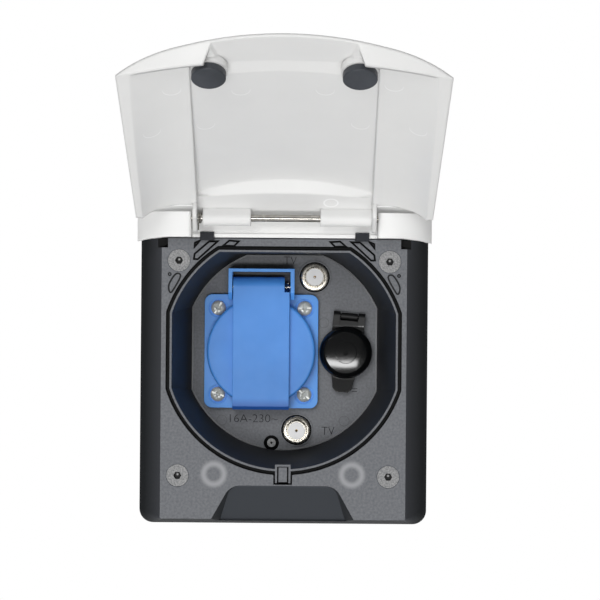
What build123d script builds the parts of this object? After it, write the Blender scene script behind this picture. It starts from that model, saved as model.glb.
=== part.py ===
import os
from math import cos, radians, sin

from build123d import *

os.makedirs("parts", exist_ok=True)

# Frame: X right, Z up, the front faces -Y. The wall is the plane Y = 0 and the
# origin is the centre of the four wall screws on it.

# Driving sizes, in millimetres.
base_depth = 24.0
gasket_t = 2.0
base_half_wall = 61.8
base_half_front = 51.9
base_top = 54.9
base_bottom_wall = -67.2
base_bottom_front = -63.8
shell_t = 3.0
screw_x = 44.6
screw_z = 45.5
screw_head_r = 4.7
spot_gap = 9.8
spot_angle = 29.2

cup_axis_z = 7.4
cup_depth = 50.0
cup_r = 50.0
cup_flat = 47.4
cup_top = 41.8
floor_r = 44.8
floor_flat = 40.9
floor_top = 41.5
lip_t = 0.9
groove_w = 1.6
plate_t = 3.0

hinge_z = 63.3
hinge_up = 7.6
pin_r = 1.5
lid_open = 121.5
lid_t = 2.0
ear_x = 38.4
bar_half = 62.2
bar_inner = 39.1
bar_up = 5.2
shoulder_drop = 2.6
lid_half_near = 61.6
lid_half_far = 65.7

schuko_x = -10.2
schuko_z = 6.4
flange = 50.0
flange_t = 3.0
hole_pitch = 38.0
flap_r = 23.8
flap_axis_up = 28.3
flap_axis_out = 5.0
flap_half = 12.35

dc_x = 27.0
dc_z = 6.1
dc_turn = -5.5
dc_bore_r = 6.1
nut_r = 13.2
cap_r = 11.6

tv_nut_r = 7.6
tv_upper = (13.1, 39.2)
tv_lower = (5.6, -28.3)
plate_screw = (-5.4, -34.1)

spot_x = (cup_r + spot_gap) * sin(radians(spot_angle))
spot_z = cup_axis_z - (cup_r + spot_gap) * cos(radians(spot_angle))
front_y = -base_depth
rear_y = -gasket_t
floor_y = front_y + cup_depth
plate_back_y = floor_y + plate_t
flange_y = floor_y - flange_t


def face(y):
    return Plane(origin=(0, y, 0), x_dir=(1, 0, 0), z_dir=(0, -1, 0))


def side(x, y, z):
    # Local x is up, local y is out towards the viewer.
    return Plane(origin=(x, y, z), x_dir=(0, 0, 1), z_dir=(1, 0, 0))


def cup_outline(r, flat, top, extra):
    with Locations((0, cup_axis_z)):
        Circle(r + extra)
    low = cup_axis_z - r - extra - 5
    high = cup_axis_z + top + extra
    with Locations((0, (low + high) / 2)):
        Rectangle(2 * (flat + extra), high - low, mode=Mode.INTERSECT)


def base_outline(half, top, bottom):
    Polygon((-half, top), (-half, bottom), (half, bottom), (half, top), align=None)


wall_screws = [(x, z) for x in (-screw_x, screw_x) for z in (-screw_z, screw_z)]
schuko_holes = [
    (schuko_x + x * hole_pitch / 2, schuko_z + z * hole_pitch / 2)
    for x in (-1, 1)
    for z in (-1, 1)
]

# Outlines engraved beside the hooks, from the middle of the base's top edge.
pads = [
    [(25.9, -3.0), (23.4, -0.9), (19.4, -1.2), (21.4, -3.2)],
    [(38.3, -8.8), (38.0, -6.6), (31.9, -1.3), (28.3, -1.2), (36.7, -8.9)],
    [(38.0, -3.6), (37.9, -1.9), (35.8, -1.0)],
]

# Cable ramp below the cup, cut out of the base.
ramp_top_z = base_bottom_front + 14.2
ramp_half = 22.2
with BuildPart() as ramp_tool:
    with BuildSketch(face(front_y)) as ramp_sketch:
        Polygon(
            (-ramp_half, ramp_top_z),
            (-ramp_half - 10.4, base_bottom_wall - 1),
            (ramp_half + 10.4, base_bottom_wall - 1),
            (ramp_half, ramp_top_z),
            align=None,
        )
        fillet(ramp_sketch.vertices().group_by(Axis.Y)[-1], 7)
    extrude(amount=-14, taper=22)
    split(
        bisect_by=Plane(origin=(0, front_y, ramp_top_z + 0.5), x_dir=(1, 0, 0), z_dir=(0, -18, -10)),
        keep=Keep.TOP,
    )

# Anthracite base: a drafted shell with bosses, a collar for the cup and a ledge for the bar.
bar_low = base_top + 0.4
bar_high = hinge_z + bar_up
with BuildPart() as base:
    with BuildSketch(face(rear_y)) as wall_sketch:
        base_outline(base_half_wall, base_top, base_bottom_wall)
        fillet(wall_sketch.vertices().group_by(Axis.Y)[0], 6)
    with BuildSketch(face(front_y)) as front_sketch:
        base_outline(base_half_front, base_top, base_bottom_front)
        fillet(front_sketch.vertices().group_by(Axis.Y)[0], 0.8)
    loft(ruled=True)
    with BuildSketch(face(rear_y)):
        base_outline(base_half_wall - 4, base_top - 3, base_bottom_wall + 4)
    with BuildSketch(face(front_y + shell_t)):
        base_outline(base_half_front - 2, base_top - 3, base_bottom_front + 3)
    loft(ruled=True, mode=Mode.SUBTRACT)
    with BuildSketch(face(rear_y)):
        with Locations((0, (base_top + bar_high) / 2)):
            Rectangle(2 * base_half_wall - 2.2, bar_high - base_top)
    extrude(amount=10)
    with BuildSketch(face(rear_y)):
        with Locations(*wall_screws):
            Circle(6.8)
        cup_outline(cup_r, cup_flat, cup_top, lip_t + groove_w + 2)
        base_outline(37, ramp_top_z + 1, base_bottom_front)
    extrude(amount=base_depth - gasket_t - 0.5)
    with BuildSketch(face(front_y)):
        cup_outline(cup_r, cup_flat, cup_top, lip_t + groove_w)
        with Locations((0, cup_axis_z - cup_r - 2)):
            Rectangle(7.9, 9)
    extrude(amount=-shell_t, mode=Mode.SUBTRACT)
    with BuildSketch(face(front_y)):
        cup_outline(cup_r, cup_flat, cup_top, lip_t + 0.25)
    extrude(amount=-base_depth, mode=Mode.SUBTRACT)
    add(ramp_tool.part, mode=Mode.SUBTRACT)
    # Countersunk wall screw holes.
    with BuildSketch(face(front_y)):
        with Locations(*wall_screws):
            Circle(2.3)
    extrude(amount=-base_depth, mode=Mode.SUBTRACT)
    with BuildSketch(face(front_y)):
        with Locations(*wall_screws):
            Circle(screw_head_r + 0.15)
    extrude(amount=-2.7, taper=42, mode=Mode.SUBTRACT)
    # Notches at the top corners, under the ends of the bar.
    with BuildSketch(face(front_y)):
        for sx in (-1, 1):
            with Locations((sx * (base_half_wall + base_half_front - 2.6) / 2, base_top - 2)):
                Rectangle(base_half_wall - base_half_front + 2.6, 4)
    extrude(amount=-4, mode=Mode.SUBTRACT)
    # Rings behind the front face that hold the steel catch plates.
    with BuildSketch(face(front_y + shell_t + 2.2)):
        with Locations((-spot_x, spot_z), (spot_x, spot_z)):
            Circle(7)
    extrude(amount=2.4)
    with BuildSketch(face(front_y + shell_t)):
        with Locations((-spot_x, spot_z), (spot_x, spot_z)):
            Circle(5.6)
    extrude(amount=-9, mode=Mode.SUBTRACT)
    # Pads with an engraved outline, and the hooks that hold the bar.
    for sx in (-1, 1):
        for pad in pads:
            with BuildSketch(face(front_y)):
                with BuildLine():
                    Polyline(*[(sx * x, base_top + z) for x, z in pad], close=True)
                trace(line_width=0.8)
            extrude(amount=-1.9, mode=Mode.SUBTRACT)
        with BuildSketch(side(sx * 32.75 - 2.95, front_y, base_top)):
            Polygon((-0.9, -1), (-0.9, 2.7), (2.7, 2.7), (2.7, 1.7), (0, 1.7), (0, -1), align=None)
        extrude(amount=5.9)
base.part.label = "base"
export_step(base.part, "parts/base.step")

# Foam gasket between the base and the wall.
with BuildPart() as wall_gasket:
    with BuildSketch(face(0)) as gasket_sketch:
        base_outline(base_half_wall - 0.6, base_top - 0.4, base_bottom_wall + 0.6)
        fillet(gasket_sketch.vertices().group_by(Axis.Y)[0], 5.4)
    extrude(amount=gasket_t)
    with BuildSketch(face(0)):
        cup_outline(cup_r, cup_flat, cup_top, lip_t + 0.6)
        with Locations(*wall_screws):
            Circle(2.5)
    extrude(amount=gasket_t, mode=Mode.SUBTRACT)
wall_gasket.part.label = "wall_gasket"
export_step(wall_gasket.part, "parts/wall_gasket.step")

# Four countersunk screws, shanks standing out behind the wall plane.
screw_out = 18.0
thread_r = 2.1
with BuildPart() as wall_screw_set:
    with BuildSketch(face(front_y + 0.1)):
        with Locations(*wall_screws):
            Circle(screw_head_r)
    extrude(amount=-2.6, taper=42)
    with BuildSketch(face(front_y + 1)):
        with Locations(*wall_screws):
            Circle(thread_r - 0.2)
    extrude(amount=-(base_depth - 1))
    with BuildSketch(face(0)):
        with Locations(*wall_screws):
            Circle(thread_r)
    extrude(amount=-screw_out)
    with BuildSketch(face(front_y + 0.1)):
        with Locations(*wall_screws):
            RegularPolygon(1.7, 6)
    extrude(amount=-1.6, mode=Mode.SUBTRACT)
wall_screw_set.part.label = "wall_screws"
export_step(wall_screw_set.part, "parts/wall_screws.step")

# Steel plates behind the front face that the lid's magnets pull on.
with BuildPart() as catch_plates:
    with BuildSketch(face(front_y + shell_t + 0.05)):
        with Locations((-spot_x, spot_z), (spot_x, spot_z)):
            Circle(5.4)
    extrude(amount=-2)
catch_plates.part.label = "catch_plates"
export_step(catch_plates.part, "parts/catch_plates.step")

# Cup: a drafted well that drops into the base, with a ledge for the socket plate.
floor_gap = 0.15
ledge_t = 2.5
cup_back = plate_back_y + ledge_t
with BuildPart() as cup:
    with BuildSketch(face(front_y)):
        cup_outline(cup_r, cup_flat, cup_top, lip_t)
    with BuildSketch(face(cup_back)):
        cup_outline(floor_r, floor_flat, floor_top, floor_gap + 1.5)
    loft(ruled=True)
    with BuildSketch(face(front_y + shell_t - 0.05)):
        cup_outline(cup_r, cup_flat, cup_top, lip_t + groove_w - 0.2)
    extrude(amount=0.9)
    with BuildSketch(face(front_y)):
        cup_outline(cup_r, cup_flat, cup_top, 0)
    with BuildSketch(face(floor_y)):
        cup_outline(floor_r, floor_flat, floor_top, floor_gap)
    loft(ruled=True, mode=Mode.SUBTRACT)
    with BuildSketch(face(floor_y - 0.01)):
        cup_outline(floor_r, floor_flat, floor_top, floor_gap)
    extrude(amount=-plate_t - 0.01, mode=Mode.SUBTRACT)
    with BuildSketch(face(plate_back_y)):
        cup_outline(floor_r, floor_flat, floor_top, -6)
        with Locations((dc_x, dc_z)):
            Circle(nut_r + 0.4)
        with Locations(tv_upper, tv_lower):
            Circle(tv_nut_r + 0.5)
    extrude(amount=-5, mode=Mode.SUBTRACT)
    # Snap tongue at the bottom, inside a thin frame that interrupts the rim.
    tongue_z = cup_axis_z - cup_r - 1.9
    with BuildSketch(face(front_y)):
        with Locations((0, tongue_z)):
            Rectangle(6.6, 7.8)
    extrude(amount=0.05 - shell_t)
    with BuildSketch(face(front_y)):
        with Locations((0, tongue_z - lip_t)):
            Rectangle(6.6 - 2 * lip_t, 7.8)
    extrude(amount=-2.4, mode=Mode.SUBTRACT)
    with BuildSketch(face(front_y + shell_t - 0.05)):
        with Locations((0, cup_axis_z - cup_r - 3)):
            Rectangle(6.2, 5.6)
    extrude(amount=0.9)
    with BuildSketch(face(front_y + shell_t - 0.5)):
        with Locations((0, tongue_z - 0.4)):
            Rectangle(3.6, 6.2)
    extrude(amount=2.3)
    with BuildSketch(face(plate_back_y + ledge_t)):
        with Locations(plate_screw):
            Circle(1.25)
    extrude(amount=ledge_t, mode=Mode.SUBTRACT)
cup.part.label = "cup"
export_step(cup.part, "parts/cup.step")

# Socket plate, the floor of the cup.
dc_body_r = 10.4
tv_r = 4.1
screw_seat = 2.0
with BuildPart() as socket_plate:
    with BuildSketch(face(plate_back_y)):
        cup_outline(floor_r, floor_flat, floor_top, 0)
    extrude(amount=plate_t)
    chamfer(socket_plate.faces().sort_by(Axis.Y)[0].edges(), 0.7)
    with BuildSketch(face(floor_y)):
        with Locations(tv_upper, tv_lower):
            Circle(7.35)
            Circle(6.65, mode=Mode.SUBTRACT)
    extrude(amount=0.4)
    with BuildSketch(face(floor_y)):
        with Locations(tv_upper, tv_lower):
            Circle(6.65)
    extrude(amount=-1.3, mode=Mode.SUBTRACT)
    with BuildSketch(face(floor_y)):
        with Locations(plate_screw):
            Circle(3.35)
    extrude(amount=-screw_seat, mode=Mode.SUBTRACT)
    with BuildSketch(face(floor_y)):
        with Locations((schuko_x, schuko_z)):
            Circle(21.75)
        with Locations(*schuko_holes):
            Circle(1.5)
        with Locations((dc_x, dc_z)):
            Circle(dc_body_r + 0.15)
        with Locations(tv_upper, tv_lower):
            Circle(tv_r + 0.75)
        with Locations(plate_screw):
            Circle(1.6)
    extrude(amount=-plate_t, mode=Mode.SUBTRACT)
socket_plate.part.label = "socket_plate"
export_step(socket_plate.part, "parts/socket_plate.step")

# Screw that holds the plate on the cup's ledge.
with BuildPart() as plate_screw_part:
    with BuildSketch(face(floor_y + screw_seat - 0.05)):
        with Locations(plate_screw):
            Circle(1.9)
    extrude(amount=1.1)
    with BuildSketch(face(floor_y + screw_seat - 0.05)):
        with Locations(plate_screw):
            Circle(1.15)
    extrude(amount=-4.5)
    with BuildSketch(face(floor_y + screw_seat - 1.15)):
        with Locations(plate_screw):
            RegularPolygon(0.6, 6)
    extrude(amount=-0.7, mode=Mode.SUBTRACT)
plate_screw_part.part.label = "plate_screw"
export_step(plate_screw_part.part, "parts/plate_screw.step")

# White bar across the top: two shoulders carry the lid's pin.
hinge_y = front_y - hinge_up
shoulder_y = front_y - 10.0
bar_back = rear_y - 10.2
shoulder_x = bar_inner + 1.9
bend_x = shoulder_x + 0.6745 * (bar_half - shoulder_x)
bend_y = front_y - 0.67 * (front_y - shoulder_y)
with BuildPart() as hinge_bar:
    with BuildSketch(Plane.XY.offset(base_top - 1.6)):
        with BuildLine():
            Polyline(
                (bar_half, front_y),
                (bar_half, bar_back),
                (-bar_half, bar_back),
                (-bar_half, front_y),
            )
            ThreePointArc((-bar_half, front_y), (-bend_x, bend_y), (-shoulder_x, shoulder_y))
            Polyline(
                (-shoulder_x, shoulder_y),
                (-bar_inner, shoulder_y),
                (-bar_inner, front_y - 1),
                (bar_inner, front_y - 1),
                (bar_inner, shoulder_y),
                (shoulder_x, shoulder_y),
            )
            ThreePointArc((shoulder_x, shoulder_y), (bend_x, bend_y), (bar_half, front_y))
        make_face()
    extrude(amount=bar_high - base_top + 1.6)
    upright = hinge_bar.edges().filter_by(Axis.Z)
    front_edges = upright.filter_by_position(Axis.Y, shoulder_y - 0.1, shoulder_y + 0.1)
    fillet([e for e in front_edges if abs(abs(e.center().X) - bar_inner) < 0.1], 1.6)
    with BuildSketch(face(front_y + 5)):
        Polygon(
            (-bar_half, bar_high),
            (-bar_half, base_top - 1.5),
            (5.2 - bar_half, base_top - 0.4),
            (12.7 - bar_half, bar_low),
            (bar_half - 12.7, bar_low),
            (bar_half - 5.2, base_top - 0.4),
            (bar_half, base_top - 1.5),
            (bar_half, bar_high),
            align=None,
        )
    extrude(amount=25, both=True, mode=Mode.INTERSECT)
    # The shoulders stop short of the rear, under the shut edge of the lid's side panels.
    with BuildSketch(face(front_y - 3)):
        with Locations((0, bar_high)):
            Rectangle(2 * bar_half + 2, 2 * shoulder_drop)
    extrude(amount=10, mode=Mode.SUBTRACT)
    with BuildSketch(face(0)):
        with Locations((0, base_top - 3 + 1.7)):
            Rectangle(2 * bar_half + 2, 3.4)
    extrude(amount=base_depth - 3.6, mode=Mode.SUBTRACT)
    with BuildSketch(face(front_y - 0.9)):
        with Locations((0, bar_low + 0.85)):
            Rectangle(2 * bar_inner, 1.7)
    extrude(amount=0.4)
    with BuildSketch(side(-46, hinge_y, hinge_z)):
        Circle(pin_r + 0.05)
    extrude(amount=92, mode=Mode.SUBTRACT)
hinge_bar.part.label = "hinge_bar"
export_step(hinge_bar.part, "parts/hinge_bar.step")

with BuildPart() as hinge_pin:
    with BuildSketch(side(-45.5, hinge_y, hinge_z)):
        Circle(pin_r)
    extrude(amount=91)
    chamfer(hinge_pin.edges(), 0.3)
hinge_pin.part.label = "hinge_pin"
export_step(hinge_pin.part, "parts/hinge_pin.step")

# Torsion spring of the lid, at the left end of the pin, with one leg down on the bar.
lid_wire = 0.28
with BuildPart() as lid_spring:
    with BuildLine() as lid_coil:
        Helix(
            pitch=0.62,
            height=1.24,
            radius=2.1,
            center=(-36.2, hinge_y, hinge_z),
            direction=(1, 0, 0),
        )
    with BuildSketch(Plane(origin=lid_coil.line @ 0, z_dir=lid_coil.line % 0)):
        Circle(lid_wire)
    sweep()
    with BuildSketch(Plane(origin=(-36.2, hinge_y, hinge_z - 2.0), z_dir=(0, 0, -1))):
        Circle(lid_wire)
    extrude(amount=3.2)
lid_spring.part.label = "lid_spring"

# Lid, drawn in its own frame: n points out of the lid, u runs from the hinge to the far edge.
lid_n = Vector(0, -cos(radians(lid_open)), sin(radians(lid_open)))
lid_u = Vector(0, -sin(radians(lid_open)), -cos(radians(lid_open)))
hinge_at = Vector(0, hinge_y, hinge_z)


def lid_level(z):
    # Plane parallel to the rim, z above the base's front face when shut; local y is -p.
    return Plane(origin=hinge_at + lid_n * (z - hinge_up), x_dir=(1, 0, 0), z_dir=lid_n)


def lid_section(p):
    # Plane across the lid at p from the hinge; local y is the height over the hinge.
    return Plane(origin=hinge_at + lid_u * p, x_dir=(1, 0, 0), z_dir=lid_u)


def lid_side(x):
    # Plane across the hinge; local coordinates are (-p, height over the hinge).
    return Plane(origin=hinge_at + Vector(x, 0, 0), x_dir=lid_u * -1, z_dir=(1, 0, 0))


def side_points(half, low, end, mid, top):
    # Half of a cross-section over the side panels, as heights over the hinge.
    return [(x, z - hinge_up) for x, z in ((half, low), (half, end), mid, top)]


def mirror_x(point):
    return (-point[0], point[1])


rim_z = 0.4
end_r = 191.4
end_p = 120.7
end_lean = 0.9
panel_z = 17.1
panel_p = 18.7
panel_fall = 0.0836
near_fall = 3.1
far_fall = 2.3
near_p = 8.0
far_p = 131.0
end_wall = 1.8
ear_t = 1.8
ear_r = 5.8
barrel_r = 3.3
side_wall = 1.9
step_r = 172.0
step_p = 14.7
step_lean = 0.8
plate_low = 2.8
plate_high = plate_low + lid_t
cut_tall = 30.0
cut_low = -8.0
step_at = Location((0, step_r - step_p, cut_tall / 2))
end_at = Location((0, end_r - end_p, cut_tall / 2))


def crown(p):
    return panel_z - panel_fall * (p - panel_p)


# Cross-sections at the hinge end and past the far edge: outside first, then the hollow.
outer_sides = (
    (near_p, side_points(lid_half_near, rim_z, 0.9, (lid_half_near - 6.6, 6.8), (ear_x + 2.6, 10))),
    (far_p, side_points(lid_half_far, rim_z, 0.75, (lid_half_far - 14.1, 4.0), (ear_x, 5.8))),
)
inner_sides = (
    (
        near_p - 0.5,
        side_points(lid_half_near - side_wall, -6, -0.9, (lid_half_near - 7.8, 4.9), (ear_x + 2.6, 8)),
    ),
    (
        far_p,
        side_points(lid_half_far - lid_t, -6, -0.9, (lid_half_far - 15.1, 2.1), (ear_x, 3.8)),
    ),
)
outer_middle = ((near_p, crown(near_p), near_fall), (far_p, crown(far_p), far_fall))
inner_middle = ((near_p - 0.5, crown(near_p) - lid_t, near_fall), (far_p, crown(far_p) - lid_t, far_fall))

# Hollow of the lid: the two side panels, the raised middle and the stepped hinge end.
with BuildPart() as lid_hollow:
    for p, (low, end, mid, top) in inner_sides:
        with BuildSketch(lid_section(p)):
            with BuildLine():
                Polyline(mirror_x(end), mirror_x(low), low, end)
                ThreePointArc(end, mid, top)
                Line(top, mirror_x(top))
                ThreePointArc(mirror_x(top), mirror_x(mid), mirror_x(end))
            make_face()
    loft(ruled=True)
    for p, height, fall in inner_middle:
        with BuildSketch(lid_section(p)):
            with BuildLine():
                half = ear_x - ear_t
                edge = height - fall - hinge_up
                Polyline((-half, edge), (-half, -6 - hinge_up), (half, -6 - hinge_up), (half, edge))
                ThreePointArc((half, edge), (0, height - hinge_up), (-half, edge))
            make_face()
    loft(ruled=True)
    with Locations(lid_level(hinge_up + plate_low).location * step_at):
        Cone(step_r, step_r + step_lean * cut_tall, cut_tall, mode=Mode.SUBTRACT)
    with Locations(lid_level(cut_low).location * end_at):
        foot_r = end_r - end_wall + end_lean * cut_low
        Cone(foot_r, foot_r + end_lean * cut_tall, cut_tall, mode=Mode.INTERSECT)

# Space of the cable outlet: a crowned roof cut to a plan that narrows towards the outside.
scoop_roof = ((101.4, 4.5), (102.2, 7.95), (109.6, 8.5), (127.2, 7.05), (140, 6.0))
scoop_lean = 0.75
scoop_low = -4.0
scoop_high = 12.0
with BuildPart() as scoop_plan:
    for z in (scoop_low, scoop_high):
        grow = scoop_lean * (7.3 - z)
        with BuildSketch(lid_level(z)):
            Polygon(
                (-19.4 - grow, -85),
                (19.4 + grow, -85),
                (30.4 + grow, -140),
                (-30.4 - grow, -140),
                align=None,
            )
    loft(ruled=True)

with BuildPart() as scoop_tool:
    for p, height in scoop_roof:
        with BuildSketch(lid_section(p)):
            with BuildLine():
                edge = height - far_fall - hinge_up
                foot = scoop_low - hinge_up
                Polyline((-ear_x, edge), (-ear_x, foot), (ear_x, foot), (ear_x, edge))
                ThreePointArc((ear_x, edge), (0, height - hinge_up), (-ear_x, edge))
            make_face()
    loft(ruled=True)
    add(scoop_plan.part, mode=Mode.INTERSECT)

with BuildPart() as lid:
    for p, (low, end, mid, top) in outer_sides:
        with BuildSketch(lid_section(p)):
            with BuildLine():
                Polyline(mirror_x(end), mirror_x(low), low, end)
                ThreePointArc(end, mid, top)
                Line(top, mirror_x(top))
                ThreePointArc(mirror_x(top), mirror_x(mid), mirror_x(end))
            make_face()
    loft(ruled=True)
    for p, height, fall in outer_middle:
        with BuildSketch(lid_section(p)):
            with BuildLine():
                edge = height - fall - hinge_up
                rim = rim_z - hinge_up
                Polyline((-ear_x, edge), (-ear_x, rim), (ear_x, rim), (ear_x, edge))
                ThreePointArc((ear_x, edge), (0, height - hinge_up), (-ear_x, edge))
            make_face()
    loft(ruled=True)
    with Locations(lid_level(hinge_up + plate_high).location * step_at):
        Cone(step_r - lid_t, step_r - lid_t + step_lean * cut_tall, cut_tall, mode=Mode.SUBTRACT)
    with Locations(lid_level(rim_z).location * end_at):
        Cone(end_r, end_r + end_lean * cut_tall, cut_tall, mode=Mode.INTERSECT)
    add(lid_hollow.part, mode=Mode.SUBTRACT)
    add(scoop_tool.part, mode=Mode.SUBTRACT)
    # Hinge end of the side panels, curved to clear the bar.
    for sx in (-1, 1):
        with BuildSketch(lid_level(-10)):
            Polygon(
                (sx * ear_x, 0),
                (sx * ear_x, -9.2),
                (sx * 49, -9.2),
                (sx * 57, -10),
                (sx * 66, -11.4),
                (sx * 66, 0),
                align=None,
            )
        extrude(amount=40, mode=Mode.SUBTRACT)
    # Hinge plate, ears and barrels round the pin.
    with BuildSketch(lid_side(-ear_x)):
        Polygon(
            (barrel_r, plate_low),
            (barrel_r, plate_high),
            (-12, plate_high),
            (-12, plate_low),
            align=None,
        )
    extrude(amount=2 * ear_x)
    for x in (-ear_x, ear_x - ear_t):
        with BuildSketch(lid_side(x)):
            Circle(ear_r)
            Polygon((0, -ear_r), (0, plate_high), (-11, plate_high), (-11, -3), (-9.5, -ear_r), align=None)
        extrude(amount=ear_t)
    for x0, x1 in ((4 - ear_x, -14.2), (15.0, ear_x)):
        with BuildSketch(lid_side(x0)):
            Circle(barrel_r)
            Polygon((barrel_r, 0), (barrel_r, 3), (-barrel_r, 3), (-barrel_r, 0), align=None)
        extrude(amount=x1 - x0)
    with BuildSketch(lid_side(-ear_x - 1)):
        Circle(pin_r + 0.3)
    extrude(amount=2 * ear_x + 2, mode=Mode.SUBTRACT)
    # Seats of the two magnets.
    with BuildSketch(lid_level(3.7)):
        with Locations((-spot_x, spot_z - hinge_z), (spot_x, spot_z - hinge_z)):
            Circle(7.3)
    extrude(amount=3.4)
lid.part.label = "lid"
export_step(lid.part, "parts/lid.step")
export_step(lid_spring.part, "parts/lid_spring.step")

with BuildPart() as lid_magnets:
    with BuildSketch(lid_level(rim_z)):
        with Locations((-spot_x, spot_z - hinge_z), (spot_x, spot_z - hinge_z)):
            Circle(6.75)
    extrude(amount=3.3)
    chamfer(lid_magnets.edges(), 0.4)
lid_magnets.part.label = "lid_magnets"
export_step(lid_magnets.part, "parts/lid_magnets.step")

# Blue earthed mains socket: flange, hinge bracket and tube.
ring_out = 1.4
well_r = 19.6
well_depth = 17.5
well_y = flange_y - ring_out + well_depth
tube_r = 21.5
tube_back = well_y + 9
bracket_half = flap_half + 2.1
axis_z = schuko_z + flap_axis_up
axis_y = flange_y - flap_axis_out
with BuildPart() as schuko_frame:
    with BuildSketch(face(floor_y)):
        with Locations((schuko_x, schuko_z)):
            RectangleRounded(flange, flange, 3.5)
        with Locations((schuko_x, axis_z + 1.2)):
            Rectangle(2 * bracket_half, 13.6)
    extrude(amount=flange_t)
    with BuildSketch(face(flange_y)):
        with Locations((schuko_x, schuko_z)):
            Circle(well_r + 3)
    extrude(amount=ring_out)
    with BuildSketch(face(floor_y)):
        with Locations((schuko_x, schuko_z)):
            Circle(tube_r)
    extrude(amount=floor_y - tube_back)
    with BuildSketch(face(flange_y - ring_out)):
        with Locations((schuko_x, schuko_z)):
            Circle(well_r)
    extrude(amount=flange_y - ring_out - tube_back, mode=Mode.SUBTRACT)
    for x0 in (schuko_x - bracket_half, schuko_x + flap_half + 0.4):
        with BuildSketch(side(x0, flange_y, axis_z)):
            Polygon((-5.6, -1), (-5.6, 6), (-2.6, 9), (8, 9), (8, -1), align=None)
        extrude(amount=1.7)
    with BuildSketch(side(schuko_x - bracket_half, flange_y, axis_z)):
        Polygon((6.6, -1), (6.6, 9), (8, 9), (8, -1), align=None)
    extrude(amount=2 * bracket_half)
    with BuildSketch(side(schuko_x - bracket_half - 1, axis_y, axis_z)):
        Circle(0.95)
    extrude(amount=2 * bracket_half + 2, mode=Mode.SUBTRACT)
    with BuildSketch(face(flange_y)):
        with Locations(*schuko_holes):
            Circle(4.1)
    extrude(amount=-0.8, mode=Mode.SUBTRACT)
    with BuildSketch(face(flange_y)):
        with Locations(*schuko_holes):
            Circle(1.9)
    extrude(amount=-flange_t, mode=Mode.SUBTRACT)
schuko_frame.part.label = "schuko_frame"
export_step(schuko_frame.part, "parts/schuko_frame.step")

# Contact carrier at the bottom of the well.
pin_pitch = 19.0
carrier_back = tube_back + 8
earth_z = well_r - 1.6
with BuildPart() as schuko_insert:
    with BuildSketch(face(well_y)):
        with Locations((schuko_x, schuko_z)):
            Circle(well_r - 0.15)
    extrude(amount=well_y - tube_back)
    with BuildSketch(face(tube_back)):
        with Locations((schuko_x, schuko_z)):
            Circle(well_r + 1.2)
    extrude(amount=tube_back - carrier_back)
    with BuildSketch(face(well_y)):
        with Locations((schuko_x - pin_pitch / 2, schuko_z), (schuko_x + pin_pitch / 2, schuko_z)):
            Circle(2.7)
        with Locations((schuko_x, schuko_z - earth_z), (schuko_x, schuko_z + earth_z)):
            Rectangle(5.6, 1.8)
    extrude(amount=well_y - carrier_back, mode=Mode.SUBTRACT)
    with BuildSketch(face(well_y + 1.5)):
        with Locations((schuko_x - pin_pitch / 2, schuko_z), (schuko_x + pin_pitch / 2, schuko_z)):
            Circle(3.6)
    extrude(amount=well_y + 1.5 - carrier_back, mode=Mode.SUBTRACT)
schuko_insert.part.label = "schuko_insert"
export_step(schuko_insert.part, "parts/schuko_insert.step")

with BuildPart() as schuko_contacts:
    with BuildSketch(face(well_y + 1.6)):
        with Locations((schuko_x - pin_pitch / 2, schuko_z), (schuko_x + pin_pitch / 2, schuko_z)):
            Circle(3.45)
            Circle(2.45, mode=Mode.SUBTRACT)
    extrude(amount=-14)
schuko_contacts.part.label = "schuko_contacts"
export_step(schuko_contacts.part, "parts/schuko_contacts.step")

# Earth strap: two spring legs in the well, joined behind the carrier.
with BuildPart() as schuko_earth:
    with BuildSketch(side(schuko_x - 2.5, well_y, schuko_z)):
        for s in (-1, 1):
            Polygon(
                (s * (earth_z + 0.4), 11),
                (s * (earth_z - 1.0), 8),
                (s * (earth_z + 0.3), 1),
                (s * (earth_z + 0.3), well_y - carrier_back - 1.1),
                (s * (earth_z - 0.5), well_y - carrier_back - 1.1),
                (s * (earth_z - 0.5), 1),
                (s * (earth_z - 1.8), 8),
                (s * (earth_z - 0.4), 11),
                align=None,
            )
        Polygon(
            (-earth_z, well_y - carrier_back - 0.3),
            (earth_z, well_y - carrier_back - 0.3),
            (earth_z, well_y - carrier_back - 1.1),
            (-earth_z, well_y - carrier_back - 1.1),
            align=None,
        )
    extrude(amount=5)
schuko_earth.part.label = "schuko_earth"
export_step(schuko_earth.part, "parts/schuko_earth.step")

# Terminal screws behind the carrier.
terminals = [(schuko_x + x, schuko_z + z) for x, z in ((-11, -7), (11, -7), (10, 9))]
with BuildPart() as schuko_terminals:
    with BuildSketch(face(carrier_back + 2.4)):
        with Locations(*terminals):
            Circle(3)
    extrude(amount=2.4)
    with BuildSketch(face(carrier_back + 2.4)):
        with Locations(*terminals):
            Rectangle(6.5, 0.8)
    extrude(amount=1, mode=Mode.SUBTRACT)
schuko_terminals.part.label = "schuko_terminals"
export_step(schuko_terminals.part, "parts/schuko_terminals.step")

# Cross-head screws in the flange's corners.
with BuildPart() as schuko_screws:
    with BuildSketch(face(flange_y + 0.75)):
        with Locations(*schuko_holes):
            Circle(3.3)
    extrude(amount=2.2)
    fillet(schuko_screws.faces().sort_by(Axis.Y)[:4].edges(), 0.9)
    with BuildSketch(face(flange_y + 0.75)):
        with Locations(*schuko_holes):
            Circle(1.4)
    extrude(amount=-7)
    with BuildSketch(face(flange_y - 1.5)):
        with Locations(*[Location((x, z, 0), (0, 0, 35)) for x, z in schuko_holes]):
            Rectangle(4.4, 0.8)
            Rectangle(0.8, 4.4)
    extrude(amount=-1.1, mode=Mode.SUBTRACT)
schuko_screws.part.label = "schuko_screws"
export_step(schuko_screws.part, "parts/schuko_screws.step")

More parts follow.
